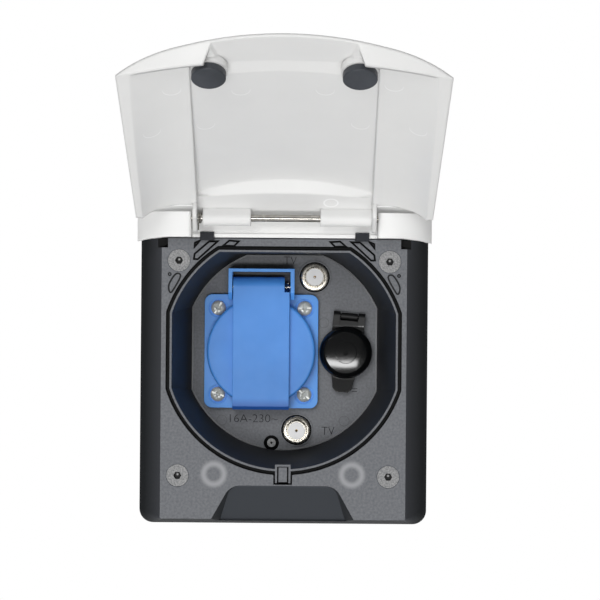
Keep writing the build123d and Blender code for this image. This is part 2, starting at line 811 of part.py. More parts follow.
# Flap over the mains socket: a disc with a raised band that turns on the pin.
flap_low = ring_out + 0.5
disc_out = 6.4
barrel_r = flap_axis_out - 0.6
band_out = flap_axis_out + barrel_r
band_low = schuko_z - 25.4
with BuildPart() as schuko_flap:
    with BuildSketch(face(flange_y - flap_low)):
        with Locations((schuko_x, schuko_z)):
            Circle(flap_r)
    extrude(amount=disc_out - flap_low)
    fillet(schuko_flap.faces().sort_by(Axis.Y)[0].edges(), 1.2)
    with BuildSketch(side(schuko_x - flap_half, flange_y, 0)):
        Polygon(
            (band_low, flap_low),
            (band_low, band_out - 1.4),
            (band_low + 1.4, band_out),
            (axis_z, band_out),
            (axis_z, flap_low),
            align=None,
        )
        with Locations((axis_z, flap_axis_out)):
            Circle(barrel_r)
    extrude(amount=2 * flap_half)
    with BuildSketch(side(schuko_x + flap_half - 2.2, axis_y, axis_z)):
        Circle(barrel_r + 2)
        with Locations((-barrel_r - 2, 0)):
            Rectangle(2 * barrel_r - 0.4, 20, mode=Mode.SUBTRACT)
    extrude(amount=3, mode=Mode.SUBTRACT)
    with BuildSketch(side(schuko_x - flap_half - 1, axis_y, axis_z)):
        Circle(1.15)
    extrude(amount=2 * flap_half + 2, mode=Mode.SUBTRACT)
    with BuildSketch(face(flange_y - flap_low)):
        with Locations((schuko_x, schuko_z)):
            Circle(22.2)
            Circle(20.0, mode=Mode.SUBTRACT)
    extrude(amount=1.0, mode=Mode.SUBTRACT)
schuko_flap.part.label = "schuko_flap"
export_step(schuko_flap.part, "parts/schuko_flap.step")

# Soft ring under the flap.
with BuildPart() as schuko_flap_seal:
    with BuildSketch(face(flange_y - flap_low + 0.15)):
        with Locations((schuko_x, schuko_z)):
            Circle(22.1)
            Circle(20.1, mode=Mode.SUBTRACT)
    extrude(amount=1.1)
schuko_flap_seal.part.label = "schuko_flap_seal"
export_step(schuko_flap_seal.part, "parts/schuko_flap_seal.step")

with BuildPart() as schuko_flap_pin:
    with BuildSketch(side(schuko_x - bracket_half + 0.1, axis_y, axis_z)):
        Circle(0.9)
    extrude(amount=2 * bracket_half - 0.2)
schuko_flap_pin.part.label = "schuko_flap_pin"
export_step(schuko_flap_pin.part, "parts/schuko_flap_pin.step")

with BuildPart() as schuko_flap_spring:
    with BuildLine() as flap_coil:
        Helix(
            pitch=0.55,
            height=1.1,
            radius=1.6,
            center=(schuko_x + flap_half - 1.7, axis_y, axis_z),
            direction=(1, 0, 0),
        )
    with BuildSketch(Plane(origin=flap_coil.line @ 0, z_dir=flap_coil.line % 0)):
        Circle(0.24)
    sweep()
schuko_flap_spring.part.label = "schuko_flap_spring"
export_step(schuko_flap_spring.part, "parts/schuko_flap_spring.step")

# Black 12 V socket, turned a little in its hole as photographed.
dc_c = cos(radians(dc_turn))
dc_s = sin(radians(dc_turn))
dc_back = plate_back_y + 30
dc_right = Vector(dc_c, 0, dc_s)
dc_up = Vector(-dc_s, 0, dc_c)
dc_at = Vector(dc_x, floor_y, dc_z)
cap_axis_up = 16.0
cap_axis_out = 3.6


def dc_face(out):
    # Plane in front of the plate; local x is right and local y up along the socket.
    return Plane(origin=dc_at + Vector(0, -out, 0), x_dir=dc_right, z_dir=(0, -1, 0))


def dc_side(right):
    # Plane across the cap's hinge; local x is up and local y is out.
    return Plane(origin=dc_at + dc_right * right, x_dir=dc_up, z_dir=dc_right)


with BuildPart() as dc_body:
    with BuildSketch(dc_face(0)):
        Circle(cap_r - 0.2)
    extrude(amount=1.4)
    with BuildSketch(dc_face(0)):
        Circle(dc_body_r)
    extrude(amount=floor_y - dc_back)
    with BuildSketch(dc_face(1.4)):
        Circle(dc_bore_r + 0.9)
    extrude(amount=-26, mode=Mode.SUBTRACT)
    with BuildSketch(dc_side(-3.6)):
        with Locations((cap_axis_up, cap_axis_out)):
            Circle(1.5)
        Polygon(
            (cap_axis_up - 1.4, 0.1),
            (cap_axis_up - 1.4, cap_axis_out),
            (cap_axis_up + 1.4, cap_axis_out),
            (cap_axis_up + 1.4, 0.1),
            align=None,
        )
        Polygon((9, 0), (9, 1.0), (cap_axis_up + 1.4, 1.0), (cap_axis_up + 1.4, 0), align=None)
        with Locations((cap_axis_up, cap_axis_out)):
            Circle(0.8, mode=Mode.SUBTRACT)
    extrude(amount=7.2)
dc_body.part.label = "dc_body"
export_step(dc_body.part, "parts/dc_body.step")

with BuildPart() as dc_sleeve:
    with BuildSketch(dc_face(-2)):
        Circle(dc_bore_r + 0.8)
        Circle(dc_bore_r, mode=Mode.SUBTRACT)
    extrude(amount=-18)
dc_sleeve.part.label = "dc_sleeve"
export_step(dc_sleeve.part, "parts/dc_sleeve.step")

with BuildPart() as dc_contact:
    with BuildSketch(dc_face(1.4 - 26)):
        Circle(3.6)
    extrude(amount=1.2)
    with BuildSketch(dc_face(1.4 - 24.8)):
        Circle(1.5)
    extrude(amount=3)
dc_contact.part.label = "dc_contact"
export_step(dc_contact.part, "parts/dc_contact.step")

with BuildPart() as dc_nut:
    with BuildSketch(dc_face(-plate_t - 0.05)):
        RegularPolygon(nut_r, 6)
        Circle(dc_body_r + 0.1, mode=Mode.SUBTRACT)
    extrude(amount=-4)
dc_nut.part.label = "dc_nut"
export_step(dc_nut.part, "parts/dc_nut.step")

# Domed cap with a thumb tab and two hinge arms.
cap_low = 1.8
with BuildPart() as dc_cap:
    with BuildSketch(Plane(origin=dc_at, x_dir=(1, 0, 0), z_dir=(0, 0, -1))):
        with BuildLine():
            Polyline((0, 8.6), (0, cap_low), (cap_r, cap_low), (cap_r, 3.6))
            ThreePointArc((cap_r, 3.6), (11.1, 6.0), (9.0, 7.8))
            ThreePointArc((9.0, 7.8), (6.9, 8.12), (4.7, 8.34))
            Line((4.7, 8.34), (4.7, 8.42))
            TangentArc((0, 8.6), (4.7, 8.42), tangent=(1, 0))
        make_face()
    revolve(axis=Axis(dc_at, (0, -1, 0)))
    with BuildSketch(dc_face(cap_low)) as tab:
        Polygon((-5.4, -9), (-4.2, -16), (-2.6, -17.6), (2.6, -17.6), (4.2, -16), (5.4, -9), align=None)
        fillet(tab.vertices().group_by(Axis.Y)[0], 1.2)
    extrude(amount=1.9)
    with BuildSketch(dc_face(cap_low)):
        with Locations((0, 11.6)):
            Rectangle(14, 5.0)
    extrude(amount=3.0)
    for x0 in (-7.0, 4.0):
        with BuildSketch(dc_side(x0)):
            with Locations((cap_axis_up, cap_axis_out)):
                Circle(1.8)
            Polygon(
                (12, cap_low),
                (12, cap_low + 3.0),
                (cap_axis_up, cap_low + 3.6),
                (cap_axis_up, cap_low),
                align=None,
            )
        extrude(amount=3.0)
    with BuildSketch(dc_side(-8)):
        with Locations((cap_axis_up, cap_axis_out)):
            Circle(0.95)
    extrude(amount=16, mode=Mode.SUBTRACT)
    with BuildSketch(dc_face(cap_low)):
        Circle(4.8)
    extrude(amount=-2.4)
dc_cap.part.label = "dc_cap"
export_step(dc_cap.part, "parts/dc_cap.step")

with BuildPart() as dc_cap_pin:
    with BuildSketch(dc_side(-6.9)):
        with Locations((cap_axis_up, cap_axis_out)):
            Circle(0.75)
    extrude(amount=13.8)
dc_cap_pin.part.label = "dc_cap_pin"
export_step(dc_cap_pin.part, "parts/dc_cap_pin.step")

# Two aerial sockets: a threaded barrel with a bevelled collar, clamped by a nut.
tv_front = floor_y - 7.5
tv_seat = floor_y + 1.2
tv_back = plate_back_y + 16
for tag, at in (("upper", tv_upper), ("lower", tv_lower)):
    with BuildPart() as tv_body:
        with BuildSketch(face(tv_seat)):
            with Locations(at):
                Circle(5.95)
        extrude(amount=1.6)
        with BuildSketch(face(floor_y - 0.4)):
            with Locations(at):
                Circle(5.95)
        extrude(amount=0.35, taper=70)
        with BuildSketch(face(tv_front)):
            with Locations(at):
                Circle(tv_r)
        extrude(amount=tv_front - tv_seat)
        with BuildSketch(face(tv_seat)):
            with Locations(at):
                Circle(tv_r + 0.6)
        extrude(amount=tv_seat - tv_back)
        with BuildSketch(face(tv_front)):
            with Locations(at):
                Circle(tv_r - 0.3)
        extrude(amount=tv_front - tv_back, mode=Mode.SUBTRACT)
    tv_body.part.label = "tv_" + tag + "_body"
    export_step(tv_body.part, "parts/tv_" + tag + "_body.step")
    with BuildPart() as tv_insulator:
        with BuildSketch(face(tv_front + 0.25)):
            with Locations(at):
                Circle(tv_r - 0.35)
                Circle(0.6, mode=Mode.SUBTRACT)
        extrude(amount=tv_front - tv_back + 1)
    tv_insulator.part.label = "tv_" + tag + "_insulator"
    export_step(tv_insulator.part, "parts/tv_" + tag + "_insulator.step")
    with BuildPart() as tv_contact:
        with BuildSketch(face(tv_front + 2)):
            with Locations(at):
                Circle(0.55)
                Circle(0.3, mode=Mode.SUBTRACT)
        extrude(amount=tv_front - tv_back - 1)
    tv_contact.part.label = "tv_" + tag + "_contact"
    export_step(tv_contact.part, "parts/tv_" + tag + "_contact.step")
    with BuildPart() as tv_nut:
        with BuildSketch(face(plate_back_y + 0.05)):
            with Locations(at):
                RegularPolygon(tv_nut_r, 6)
                Circle(tv_r + 0.7, mode=Mode.SUBTRACT)
        extrude(amount=-3)
    tv_nut.part.label = "tv_" + tag + "_nut"
    export_step(tv_nut.part, "parts/tv_" + tag + "_nut.step")
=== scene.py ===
import math

import bmesh
import bpy
from mathutils import Matrix, Vector


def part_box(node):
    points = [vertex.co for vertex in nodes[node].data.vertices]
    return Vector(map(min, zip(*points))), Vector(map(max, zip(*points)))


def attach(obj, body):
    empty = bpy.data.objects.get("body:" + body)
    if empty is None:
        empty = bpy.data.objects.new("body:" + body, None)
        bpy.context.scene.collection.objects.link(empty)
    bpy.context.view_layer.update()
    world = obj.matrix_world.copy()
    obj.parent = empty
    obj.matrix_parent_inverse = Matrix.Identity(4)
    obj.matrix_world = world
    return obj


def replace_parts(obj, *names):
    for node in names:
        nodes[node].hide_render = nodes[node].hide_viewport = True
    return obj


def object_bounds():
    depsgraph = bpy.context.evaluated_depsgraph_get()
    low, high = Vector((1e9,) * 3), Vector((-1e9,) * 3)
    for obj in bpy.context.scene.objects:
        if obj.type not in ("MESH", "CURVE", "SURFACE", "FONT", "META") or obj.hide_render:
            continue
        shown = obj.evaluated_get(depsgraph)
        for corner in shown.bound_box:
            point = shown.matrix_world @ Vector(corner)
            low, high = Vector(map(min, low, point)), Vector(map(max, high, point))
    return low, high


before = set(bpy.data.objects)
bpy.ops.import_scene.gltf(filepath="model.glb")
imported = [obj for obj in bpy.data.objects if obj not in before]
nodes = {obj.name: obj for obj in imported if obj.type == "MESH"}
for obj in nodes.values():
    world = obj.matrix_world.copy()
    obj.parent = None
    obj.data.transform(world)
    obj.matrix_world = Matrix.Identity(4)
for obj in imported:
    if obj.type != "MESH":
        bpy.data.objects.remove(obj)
cad_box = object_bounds()
MM = 0.001


# Colours and shader nodes

# A Mix node's colour sockets by number, because its other kinds of value share their names.
FACTOR, FIRST, SECOND, MIXED = 0, 6, 7, 2


def linear(hex_colour):
    """sRGB hex to linear RGBA."""
    values = [int(hex_colour[i:i + 2], 16) / 255 for i in (1, 3, 5)]
    return [v / 12.92 if v <= 0.04045 else ((v + 0.055) / 1.055) ** 2.4 for v in values] + [1.0]


def add(tree, kind, inputs=None, **settings):
    """Adds one shader node, sets it and links or fills its inputs."""
    made = tree.nodes.new(kind)
    for key, value in settings.items():
        setattr(made, key, value)
    for socket, value in (inputs or {}).items():
        if isinstance(value, bpy.types.NodeSocket):
            tree.links.new(value, made.inputs[socket])
        else:
            made.inputs[socket].default_value = value
    return made


def new_material(name):
    """An empty material, its node tree, and the place of each surface point in metres."""
    made = bpy.data.materials.new(name)
    made.use_nodes = True
    tree = made.node_tree
    tree.nodes.clear()
    place = add(tree, "ShaderNodeTexCoord").outputs["Object"]
    return made, tree, place


def per_mm(size_mm):
    """Noise scale for features of that size, on coordinates in metres."""
    return 1 / (size_mm * MM)


def mottle(tree, place, size_mm, low, high, detail=3):
    """A value that wanders between low and high over patches of that size."""
    noise = add(tree, "ShaderNodeTexNoise", {"Vector": place, "Scale": per_mm(size_mm), "Detail": detail})
    # Noise seldom leaves 0.3 to 0.7, so that span is stretched over the whole range.
    spread = {"Value": noise.outputs["Fac"], "From Min": 0.3, "From Max": 0.7, "To Min": low, "To Max": high}
    return add(tree, "ShaderNodeMapRange", spread).outputs[0]


def two_tone(tree, place, size_mm, dark, light, detail=3):
    """A colour that wanders between two hex colours over patches of that size."""
    drift = mottle(tree, place, size_mm, 0, 1, detail)
    ends = {FACTOR: drift, FIRST: linear(dark), SECOND: linear(light)}
    return add(tree, "ShaderNodeMix", ends, data_type="RGBA").outputs[MIXED]


def relief(tree, place, grain_mm, depth_mm, edge_mm):
    """Normal of a softened edge with a fine grain over it."""
    edge = add(tree, "ShaderNodeBevel", {"Radius": edge_mm * MM}, samples=6)
    grain = add(tree, "ShaderNodeTexNoise", {"Vector": place, "Scale": per_mm(grain_mm), "Detail": 2})
    pressed = {
        "Height": grain.outputs["Fac"],
        "Distance": depth_mm * MM,
        "Strength": 1.0,
        "Normal": edge.outputs[0],
    }
    return add(tree, "ShaderNodeBump", pressed).outputs[0]


def marks(tree, place, centres, radius_mm, width_mm):
    """1 on thin circles drawn round the centres (metres) where they meet the surface, 0 elsewhere."""
    total = None
    for centre in centres:
        away = add(tree, "ShaderNodeVectorMath", {0: place, 1: centre}, operation="DISTANCE").outputs["Value"]
        off = add(tree, "ShaderNodeMath", {0: away, 1: radius_mm * MM}, operation="SUBTRACT").outputs[0]
        size = add(tree, "ShaderNodeMath", {0: off}, operation="ABSOLUTE").outputs[0]
        fall = {"Value": size, "From Max": width_mm * MM, "To Min": 1.0, "To Max": 0.0}
        ring = add(tree, "ShaderNodeMapRange", fall, interpolation_type="SMOOTHSTEP").outputs[0]
        if total is None:
            total = ring
        else:
            total = add(tree, "ShaderNodeMath", {0: total, 1: ring}, operation="MAXIMUM").outputs[0]
    return total


# Materials of the panel

# A pixel of the render is about 0.43 mm wide at the panel. Mould grain, grit and scratches are 0.02 to
# 0.2 mm wide in reality, too fine to show, so they are drawn 0.25 to 1 mm wide.
PLASTIC_IOR = 1.5
# Patches in millimetres over which a moulding's colour and sheen change, and then a metal's.
COLOUR_DRIFT, SHEEN_DRIFT = 14, 5
METAL_TONE, METAL_SHEEN = 2.5, 1.2
# Speckle of an eroded mould and of zinc flake, and patches on the cap, in millimetres.
ERODED_SPECKLE, FLAKE_SPECKLE, CAP_DRIFT = 1.0, 0.6, 9


def moulded(name, dark, light, rough, grain_mm, depth_mm, edge_mm=0.3):
    """Injection-moulded plastic: faint colour drift, uneven sheen and a mould grain."""
    made, tree, place = new_material(name)
    surface = add(
        tree,
        "ShaderNodeBsdfPrincipled",
        {
            "Base Color": two_tone(tree, place, COLOUR_DRIFT, dark, light),
            "Roughness": mottle(tree, place, SHEEN_DRIFT, rough * 0.92, rough * 1.08),
            "IOR": PLASTIC_IOR,
            "Normal": relief(tree, place, grain_mm, depth_mm, edge_mm),
        },
    )
    add(tree, "ShaderNodeOutputMaterial", {"Surface": surface.outputs[0]})
    return made


def metal(name, dark, light, rough, scratch_mm, depth_mm, edge_mm=0.15, bare=1.0):
    """Bare or plated metal: uneven tone, fine scratches and softened edges; bare is less under a film."""
    made, tree, place = new_material(name)
    surface = add(
        tree,
        "ShaderNodeBsdfPrincipled",
        {
            "Base Color": two_tone(tree, place, METAL_TONE, dark, light),
            "Metallic": bare,
            "Roughness": mottle(tree, place, METAL_SHEEN, rough * 0.8, rough * 1.2),
            "Normal": relief(tree, place, scratch_mm, depth_mm, edge_mm),
        },
    )
    add(tree, "ShaderNodeOutputMaterial", {"Surface": surface.outputs[0]})
    return made


def grained_abs(name, dark, light, face_y, grain_mm, depth_mm, rings, bevel):
    """Anthracite ABS: spark-eroded grain that scatters light on the front face at face_y, darker smooth
    walls, slopes in the bevel colour (a painted highlight on the plate), a painted shade on the outer sides
    and in recesses, and rings (centres, radius, width, colour) on the face."""
    made, tree, place = new_material(name)
    normal = add(tree, "ShaderNodeNewGeometry").outputs["True Normal"]
    facing = add(tree, "ShaderNodeSeparateXYZ", {0: normal}).outputs["Y"]
    # At -1 a surface faces the front. Slopes turn half that way, flats nearly, and the face fully.
    turns = ((-0.45, -0.65), (-0.8, -0.95), (-0.95, -0.99))
    slope, flat, front = [
        add(tree, "ShaderNodeMapRange", {"Value": facing, "From Min": start, "From Max": end}).outputs[0]
        for start, end in turns
    ]
    spot = add(tree, "ShaderNodeSeparateXYZ", {0: place}).outputs
    behind = add(tree, "ShaderNodeMath", {0: spot["Y"], 1: face_y}, operation="SUBTRACT").outputs[0]
    away = add(tree, "ShaderNodeMath", {0: behind}, operation="ABSOLUTE").outputs[0]
    # The face takes in what lies within about half a millimetre of it.
    near, far = 0.5 * MM, 0.7 * MM
    close_by = {"Value": away, "From Min": near, "From Max": far, "To Min": 1.0, "To Max": 0.0}
    level = add(tree, "ShaderNodeMapRange", close_by).outputs[0]
    grained = add(tree, "ShaderNodeMath", {0: front, 1: level}, operation="MULTIPLY").outputs[0]
    face = two_tone(tree, place, ERODED_SPECKLE, dark, light, detail=2)
    for centres, radius_mm, width_mm, ring_colour in rings:
        ring = marks(tree, place, centres, radius_mm, width_mm)
        laid = {FACTOR: ring, FIRST: face, SECOND: linear(ring_colour)}
        face = add(tree, "ShaderNodeMix", laid, data_type="RGBA").outputs[MIXED]
    # The outer sides, further than this from the middle, darken towards the wall: a painted shade that stands
    # in for a side which rounds into the front face.
    side_start, side_end, side_shade_depth = 51 * MM, 52 * MM, 17 * MM
    reach = add(tree, "ShaderNodeMath", {0: spot["X"]}, operation="ABSOLUTE").outputs[0]
    beyond = {"Value": reach, "From Min": side_start, "From Max": side_end}
    outer = add(tree, "ShaderNodeMapRange", beyond).outputs[0]
    side_shade = add(tree, "ShaderNodeMapRange", {"Value": behind, "From Max": side_shade_depth}).outputs[0]
    faded = {FACTOR: side_shade, FIRST: linear("#424449"), SECOND: linear("#1c1f22")}
    side = add(tree, "ShaderNodeMix", faded, data_type="RGBA").outputs[MIXED]
    # Flats in front of the face are dark, and the floors of recesses behind it take a near-black painted
    # shade.
    recess_shade = add(tree, "ShaderNodeMapRange", {"Value": behind, "From Min": near, "From Max": far}).outputs[0]
    flats_and_recess_shade = {FACTOR: recess_shade, FIRST: linear("#2b2d31"), SECOND: linear("#0a0b0c")}
    floor = add(tree, "ShaderNodeMix", flats_and_recess_shade, data_type="RGBA").outputs[MIXED]
    # Starting from the inner walls, each colour covers the last where its mask is 1.
    colour = linear("#2d2f32")
    for mask, over in ((outer, side), (slope, linear(bevel)), (flat, floor), (grained, face)):
        laid = {FACTOR: mask, FIRST: colour, SECOND: over}
        colour = add(tree, "ShaderNodeMix", laid, data_type="RGBA").outputs[MIXED]
    sheen = {"Value": grained, "To Min": 0.6, "To Max": 0.5}
    surface = add(
        tree,
        "ShaderNodeBsdfPrincipled",
        {
            "Base Color": colour,
            "Roughness": add(tree, "ShaderNodeMapRange", sheen).outputs[0],
            "IOR": PLASTIC_IOR,
            "Specular IOR Level": 0.2,
            "Normal": relief(tree, place, grain_mm, depth_mm, edge_mm=0.3),
        },
    )
    add(tree, "ShaderNodeOutputMaterial", {"Surface": surface.outputs[0]})
    return made


def on_face(y, *spots):
    """Points in metres at (x, z) millimetres on a plane that faces the front."""
    return [(x * MM, y, z * MM) for x, z in spots]


base_front = -24 * MM
plate_face = 26 * MM
catch_low, catch_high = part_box("catch_plates")
catch_r = (catch_high.z - catch_low.z) / 2
catch_z = (catch_low.z + catch_high.z) / 2
rubbed = [(x, base_front, catch_z) for x in (catch_low.x + catch_r, catch_high.x - catch_r)]
pushed = on_face(plate_face, (-27.4, -24.2), (26.6, -24.2), (17.3, 19.1))

# Anthracite ABS from a spark-eroded mould: a dull speckle of two greys, drawn 1 mm coarse so that it
# shows. The lid's magnets have rubbed two pale rings into it.
ANTHRACITE = grained_abs(
    "anthracite_abs_eroded",
    "#616367",
    "#727478",
    base_front,
    grain_mm=0.9,
    depth_mm=0.02,
    rings=[(rubbed, 4.3, 2.2, "#939497")],
    bevel="#4a4e54",
)
# The plate in the cup, of the same ABS: paler, a painted light that offsets the shade in the cup, with a
# shallower grain, a painted highlight on its slopes and the faint circles that the mould's ejectors leave.
PLATE_ABS = grained_abs(
    "anthracite_abs_plate",
    "#737579",
    "#838589",
    plate_face,
    grain_mm=0.8,
    depth_mm=0.015,
    rings=[(pushed, 2.2, 0.3, "#6a6c70")],
    bevel="#b4b6b9",
)


# Directions along the open lid, which leans forward from upright, and out through its back.
LID_LEAN = math.radians(58.5)
LID_UP = Vector((0, -math.sin(LID_LEAN), math.cos(LID_LEAN)))
LID_OUT = Vector((0, math.cos(LID_LEAN), math.sin(LID_LEAN)))
# Marks reach this far into the lid's skin, so that they stay off its outer side.
MARK_REACH = 1.2 * MM
# Widths in millimetres of the lines that the pins and the stamp leave.
PIN_LINE, STAMP_LINE = 0.35, 0.55


def inner_skin(tree, place, middle):
    """1 on the lid's inner side near a point on it, 0 on its outer side."""
    lift = add(tree, "ShaderNodeVectorMath", {0: place, 1: LID_OUT}, operation="DOT_PRODUCT").outputs["Value"]
    skin = middle.dot(LID_OUT) + MARK_REACH
    return add(tree, "ShaderNodeMath", {0: lift, 1: skin}, operation="LESS_THAN").outputs[0]


def lid_abs(name, dark, light, arcs, arc_r_mm, mark_colour, stamp, stamp_r_mm):
    """White ABS of the lid: satin, with the circles that ejector pins leave, drawn pale on their lower halves
    only as a painted highlight where the light catches each step, and the ring of the mould's date stamp."""
    made, tree, place = new_material(name)
    colour = two_tone(tree, place, COLOUR_DRIFT, dark, light)
    arc_r = arc_r_mm * MM
    shown = []
    for low in arcs:
        middle = low + arc_r * LID_UP
        ring = marks(tree, place, [middle], arc_r_mm, PIN_LINE)
        # The upper half of each circle, nearest to a point inside its top, is faded out, so that the painted
        # highlight stays on the lower half.
        top = middle + 0.8 * arc_r * LID_UP
        away = add(tree, "ShaderNodeVectorMath", {0: place, 1: top}, operation="DISTANCE").outputs["Value"]
        faded = {"Value": away, "From Min": 1.1 * arc_r, "From Max": 1.7 * arc_r}
        lower = add(tree, "ShaderNodeMapRange", faded).outputs[0]
        half = add(tree, "ShaderNodeMath", {0: ring, 1: lower}, operation="MULTIPLY").outputs[0]
        shown.append((half, middle))
    shown.append((marks(tree, place, [stamp], stamp_r_mm, STAMP_LINE), stamp))
    for mark, middle in shown:
        inner = inner_skin(tree, place, middle)
        mask = add(tree, "ShaderNodeMath", {0: mark, 1: inner}, operation="MULTIPLY").outputs[0]
        laid = {FACTOR: mask, FIRST: colour, SECOND: linear(mark_colour)}
        colour = add(tree, "ShaderNodeMix", laid, data_type="RGBA").outputs[MIXED]
    surface = add(
        tree,
        "ShaderNodeBsdfPrincipled",
        {
            "Base Color": colour,
            "Roughness": mottle(tree, place, SHEEN_DRIFT, 0.37, 0.43),
            "IOR": PLASTIC_IOR,
            "Normal": relief(tree, place, grain_mm=0.7, depth_mm=0.004, edge_mm=1.3),
        },
    )
    add(tree, "ShaderNodeOutputMaterial", {"Surface": surface.outputs[0]})
    return made


def capped_pp(name, dark, light, polished_top):
    """Black polypropylene: a dome polished in the mould, with the hinge arms above it left matt."""
    made, tree, place = new_material(name)
    height = add(tree, "ShaderNodeSeparateXYZ", {0: place}).outputs["Z"]
    gloss, matt = 0.13, 0.55
    change = {
        "Value": height,
        "From Min": polished_top,
        "From Max": polished_top + 0.6 * MM,
        "To Min": gloss,
        "To Max": matt,
    }
    surface = add(
        tree,
        "ShaderNodeBsdfPrincipled",
        {
            "Base Color": two_tone(tree, place, CAP_DRIFT, dark, light),
            "Roughness": add(tree, "ShaderNodeMapRange", change).outputs[0],
            "IOR": 1.6,
            "Normal": relief(tree, place, grain_mm=3.0, depth_mm=0.004, edge_mm=0.3),
        },
    )
    add(tree, "ShaderNodeOutputMaterial", {"Surface": surface.outputs[0]})
    return made


def shaded_pa(name, dark, light, painted_shade, start_z, end_z, middle_x, half, behind_y):
    """Blue polyamide that turns to a deep painted shade from height start_z to height end_z, within half of
    middle_x and behind behind_y."""
    made, tree, place = new_material(name)
    colour = two_tone(tree, place, COLOUR_DRIFT, dark, light)
    spot = add(tree, "ShaderNodeSeparateXYZ", {0: place}).outputs
    turning = {"Value": spot["Z"], "From Min": start_z, "From Max": end_z}
    shade = add(tree, "ShaderNodeMapRange", turning).outputs[0]
    aside = add(tree, "ShaderNodeMath", {0: spot["X"], 1: middle_x}, operation="SUBTRACT").outputs[0]
    reach = add(tree, "ShaderNodeMath", {0: aside}, operation="ABSOLUTE").outputs[0]
    within = add(tree, "ShaderNodeMath", {0: reach, 1: half}, operation="LESS_THAN").outputs[0]
    behind = add(tree, "ShaderNodeMath", {0: spot["Y"], 1: behind_y}, operation="GREATER_THAN").outputs[0]
    for limit in (within, behind):
        shade = add(tree, "ShaderNodeMath", {0: shade, 1: limit}, operation="MULTIPLY").outputs[0]
    laid = {FACTOR: shade, FIRST: colour, SECOND: linear(painted_shade)}
    surface = add(
        tree,
        "ShaderNodeBsdfPrincipled",
        {
            "Base Color": add(tree, "ShaderNodeMix", laid, data_type="RGBA").outputs[MIXED],
            "Roughness": mottle(tree, place, SHEEN_DRIFT, 0.39, 0.45),
            "IOR": PLASTIC_IOR,
            "Normal": relief(tree, place, grain_mm=0.6, depth_mm=0.012, edge_mm=0.4),
        },
    )
    add(tree, "ShaderNodeOutputMaterial", {"Surface": surface.outputs[0]})
    return made


def flaked_steel(name, dark, light, face_y, dots, dot_mm, dot_colour):
    """Screw heads coated with zinc flake: speckled grey, a near-black painted shade in the recess, a painted
    dot in each middle.
    """
    made, tree, place = new_material(name)
    colour = two_tone(tree, place, FLAKE_SPECKLE, dark, light, detail=2)
    depth = add(tree, "ShaderNodeSeparateXYZ", {0: place}).outputs["Y"]
    # Deep in the recess the coat gives way to a near-black painted shade. Each dot is a painted highlight on
    # the wall screws and a painted shade on the plate's screw.
    recess_start, recess_full = face_y + 0.2 * MM, face_y + 0.4 * MM
    inside = {"Value": depth, "From Min": recess_start, "From Max": recess_full}
    recess_shade = add(tree, "ShaderNodeMapRange", inside).outputs[0]
    dot = marks(tree, place, dots, 0.0, dot_mm)
    for mask, over in ((recess_shade, "#0a0a0b"), (dot, dot_colour)):
        laid = {FACTOR: mask, FIRST: colour, SECOND: linear(over)}
        colour = add(tree, "ShaderNodeMix", laid, data_type="RGBA").outputs[MIXED]
    # The flakes lie in a binder, so only part of the coat reads as metal.
    surface = add(
        tree,
        "ShaderNodeBsdfPrincipled",
        {
            "Base Color": colour,
            "Metallic": 0.2,
            "Roughness": 0.55,
            "Normal": relief(tree, place, grain_mm=0.5, depth_mm=0.02, edge_mm=0.15),
        },
    )
    add(tree, "ShaderNodeOutputMaterial", {"Surface": surface.outputs[0]})
    return made


# Where ejector pins left their marks inside the open lid: the lowest point of each arc.
ejected = [
    Vector(spot) * MM
    for spot in (
        (-17.1, -104.5, 109.4),
        (15.9, -104.8, 109.7),
        (-43.9, -111.2, 108.7),
        (42.6, -114.4, 110.7),
        (-31.5, -83.6, 97.3),
        (30.2, -84.2, 97.8),
        (-52.8, -88.5, 93.6),
        (53.1, -91.3, 95.1),
    )
]
stamped = Vector((19.3, -36.8, 69.8)) * MM
nut_low, nut_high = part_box("dc_nut")
dome_top = (nut_low.z + nut_high.z) / 2 + 11.4 * MM
hood_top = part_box("schuko_frame")[1].z
flap_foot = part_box("schuko_flap")[0].z
flap_x = -10.2 * MM

# Each call below gives two tones, the roughness, and the width and depth of the grain in millimetres.

# White ABS, satin from the mould: clean white with wide, soft highlights and hardly any grain.
WHITE_ABS = moulded("white_abs_satin", "#eaeae9", "#ececeb", 0.4, 0.7, 0.004, edge_mm=0.5)
# The lid's white ABS: the same satin a shade greyer, a painted shade against the light that gathers in its
# hollow, with pale mould marks on its inner side whose lower halves are painted highlight.
LID_ABS = lid_abs("white_abs_lid", "#dbdbda", "#dddddc", ejected, 3.6, "#ededed", stamped, 2.9)
# Blue polyamide from a finely textured mould: a satin face that spreads its highlights.
BLUE_PA = moulded("blue_polyamide_satin", "#4990e4", "#5198ec", 0.42, 0.6, 0.012, edge_mm=0.4)
# The flap, of the same polyamide: its lower lip turns down into a painted shade.
FLAP_PA = shaded_pa(
    "blue_polyamide_flap",
    "#4990e4",
    "#5198ec",
    painted_shade="#2e63ba",
    start_z=flap_foot + 5.0 * MM,
    end_z=flap_foot + 1.0 * MM,
    middle_x=flap_x,
    half=30 * MM,
    behind_y=-MM,
)
# The frame, of the same polyamide: a lighter blue, painted light against the flap's shadow on it, with a
# near-black painted shade inside its hood, above the flap.
FRAME_PA = shaded_pa(
    "blue_polyamide_frame",
    "#57a2f8",
    "#5fa9fc",
    painted_shade="#060e22",
    start_z=hood_top - 7.6 * MM,
    end_z=hood_top - 7.0 * MM,
    middle_x=flap_x,
    half=12.6 * MM,
    behind_y=15.5 * MM,
)
# Black polypropylene, polished in the mould: a deep gloss with hard highlights that bend a little in the
# slow waves of the surface, and matt hinge arms. Its IOR is above the usual 1.49, to match the gloss.
BLACK_PP = capped_pp("black_polypropylene_polished", "#08090a", "#0c0d0e", dome_top)
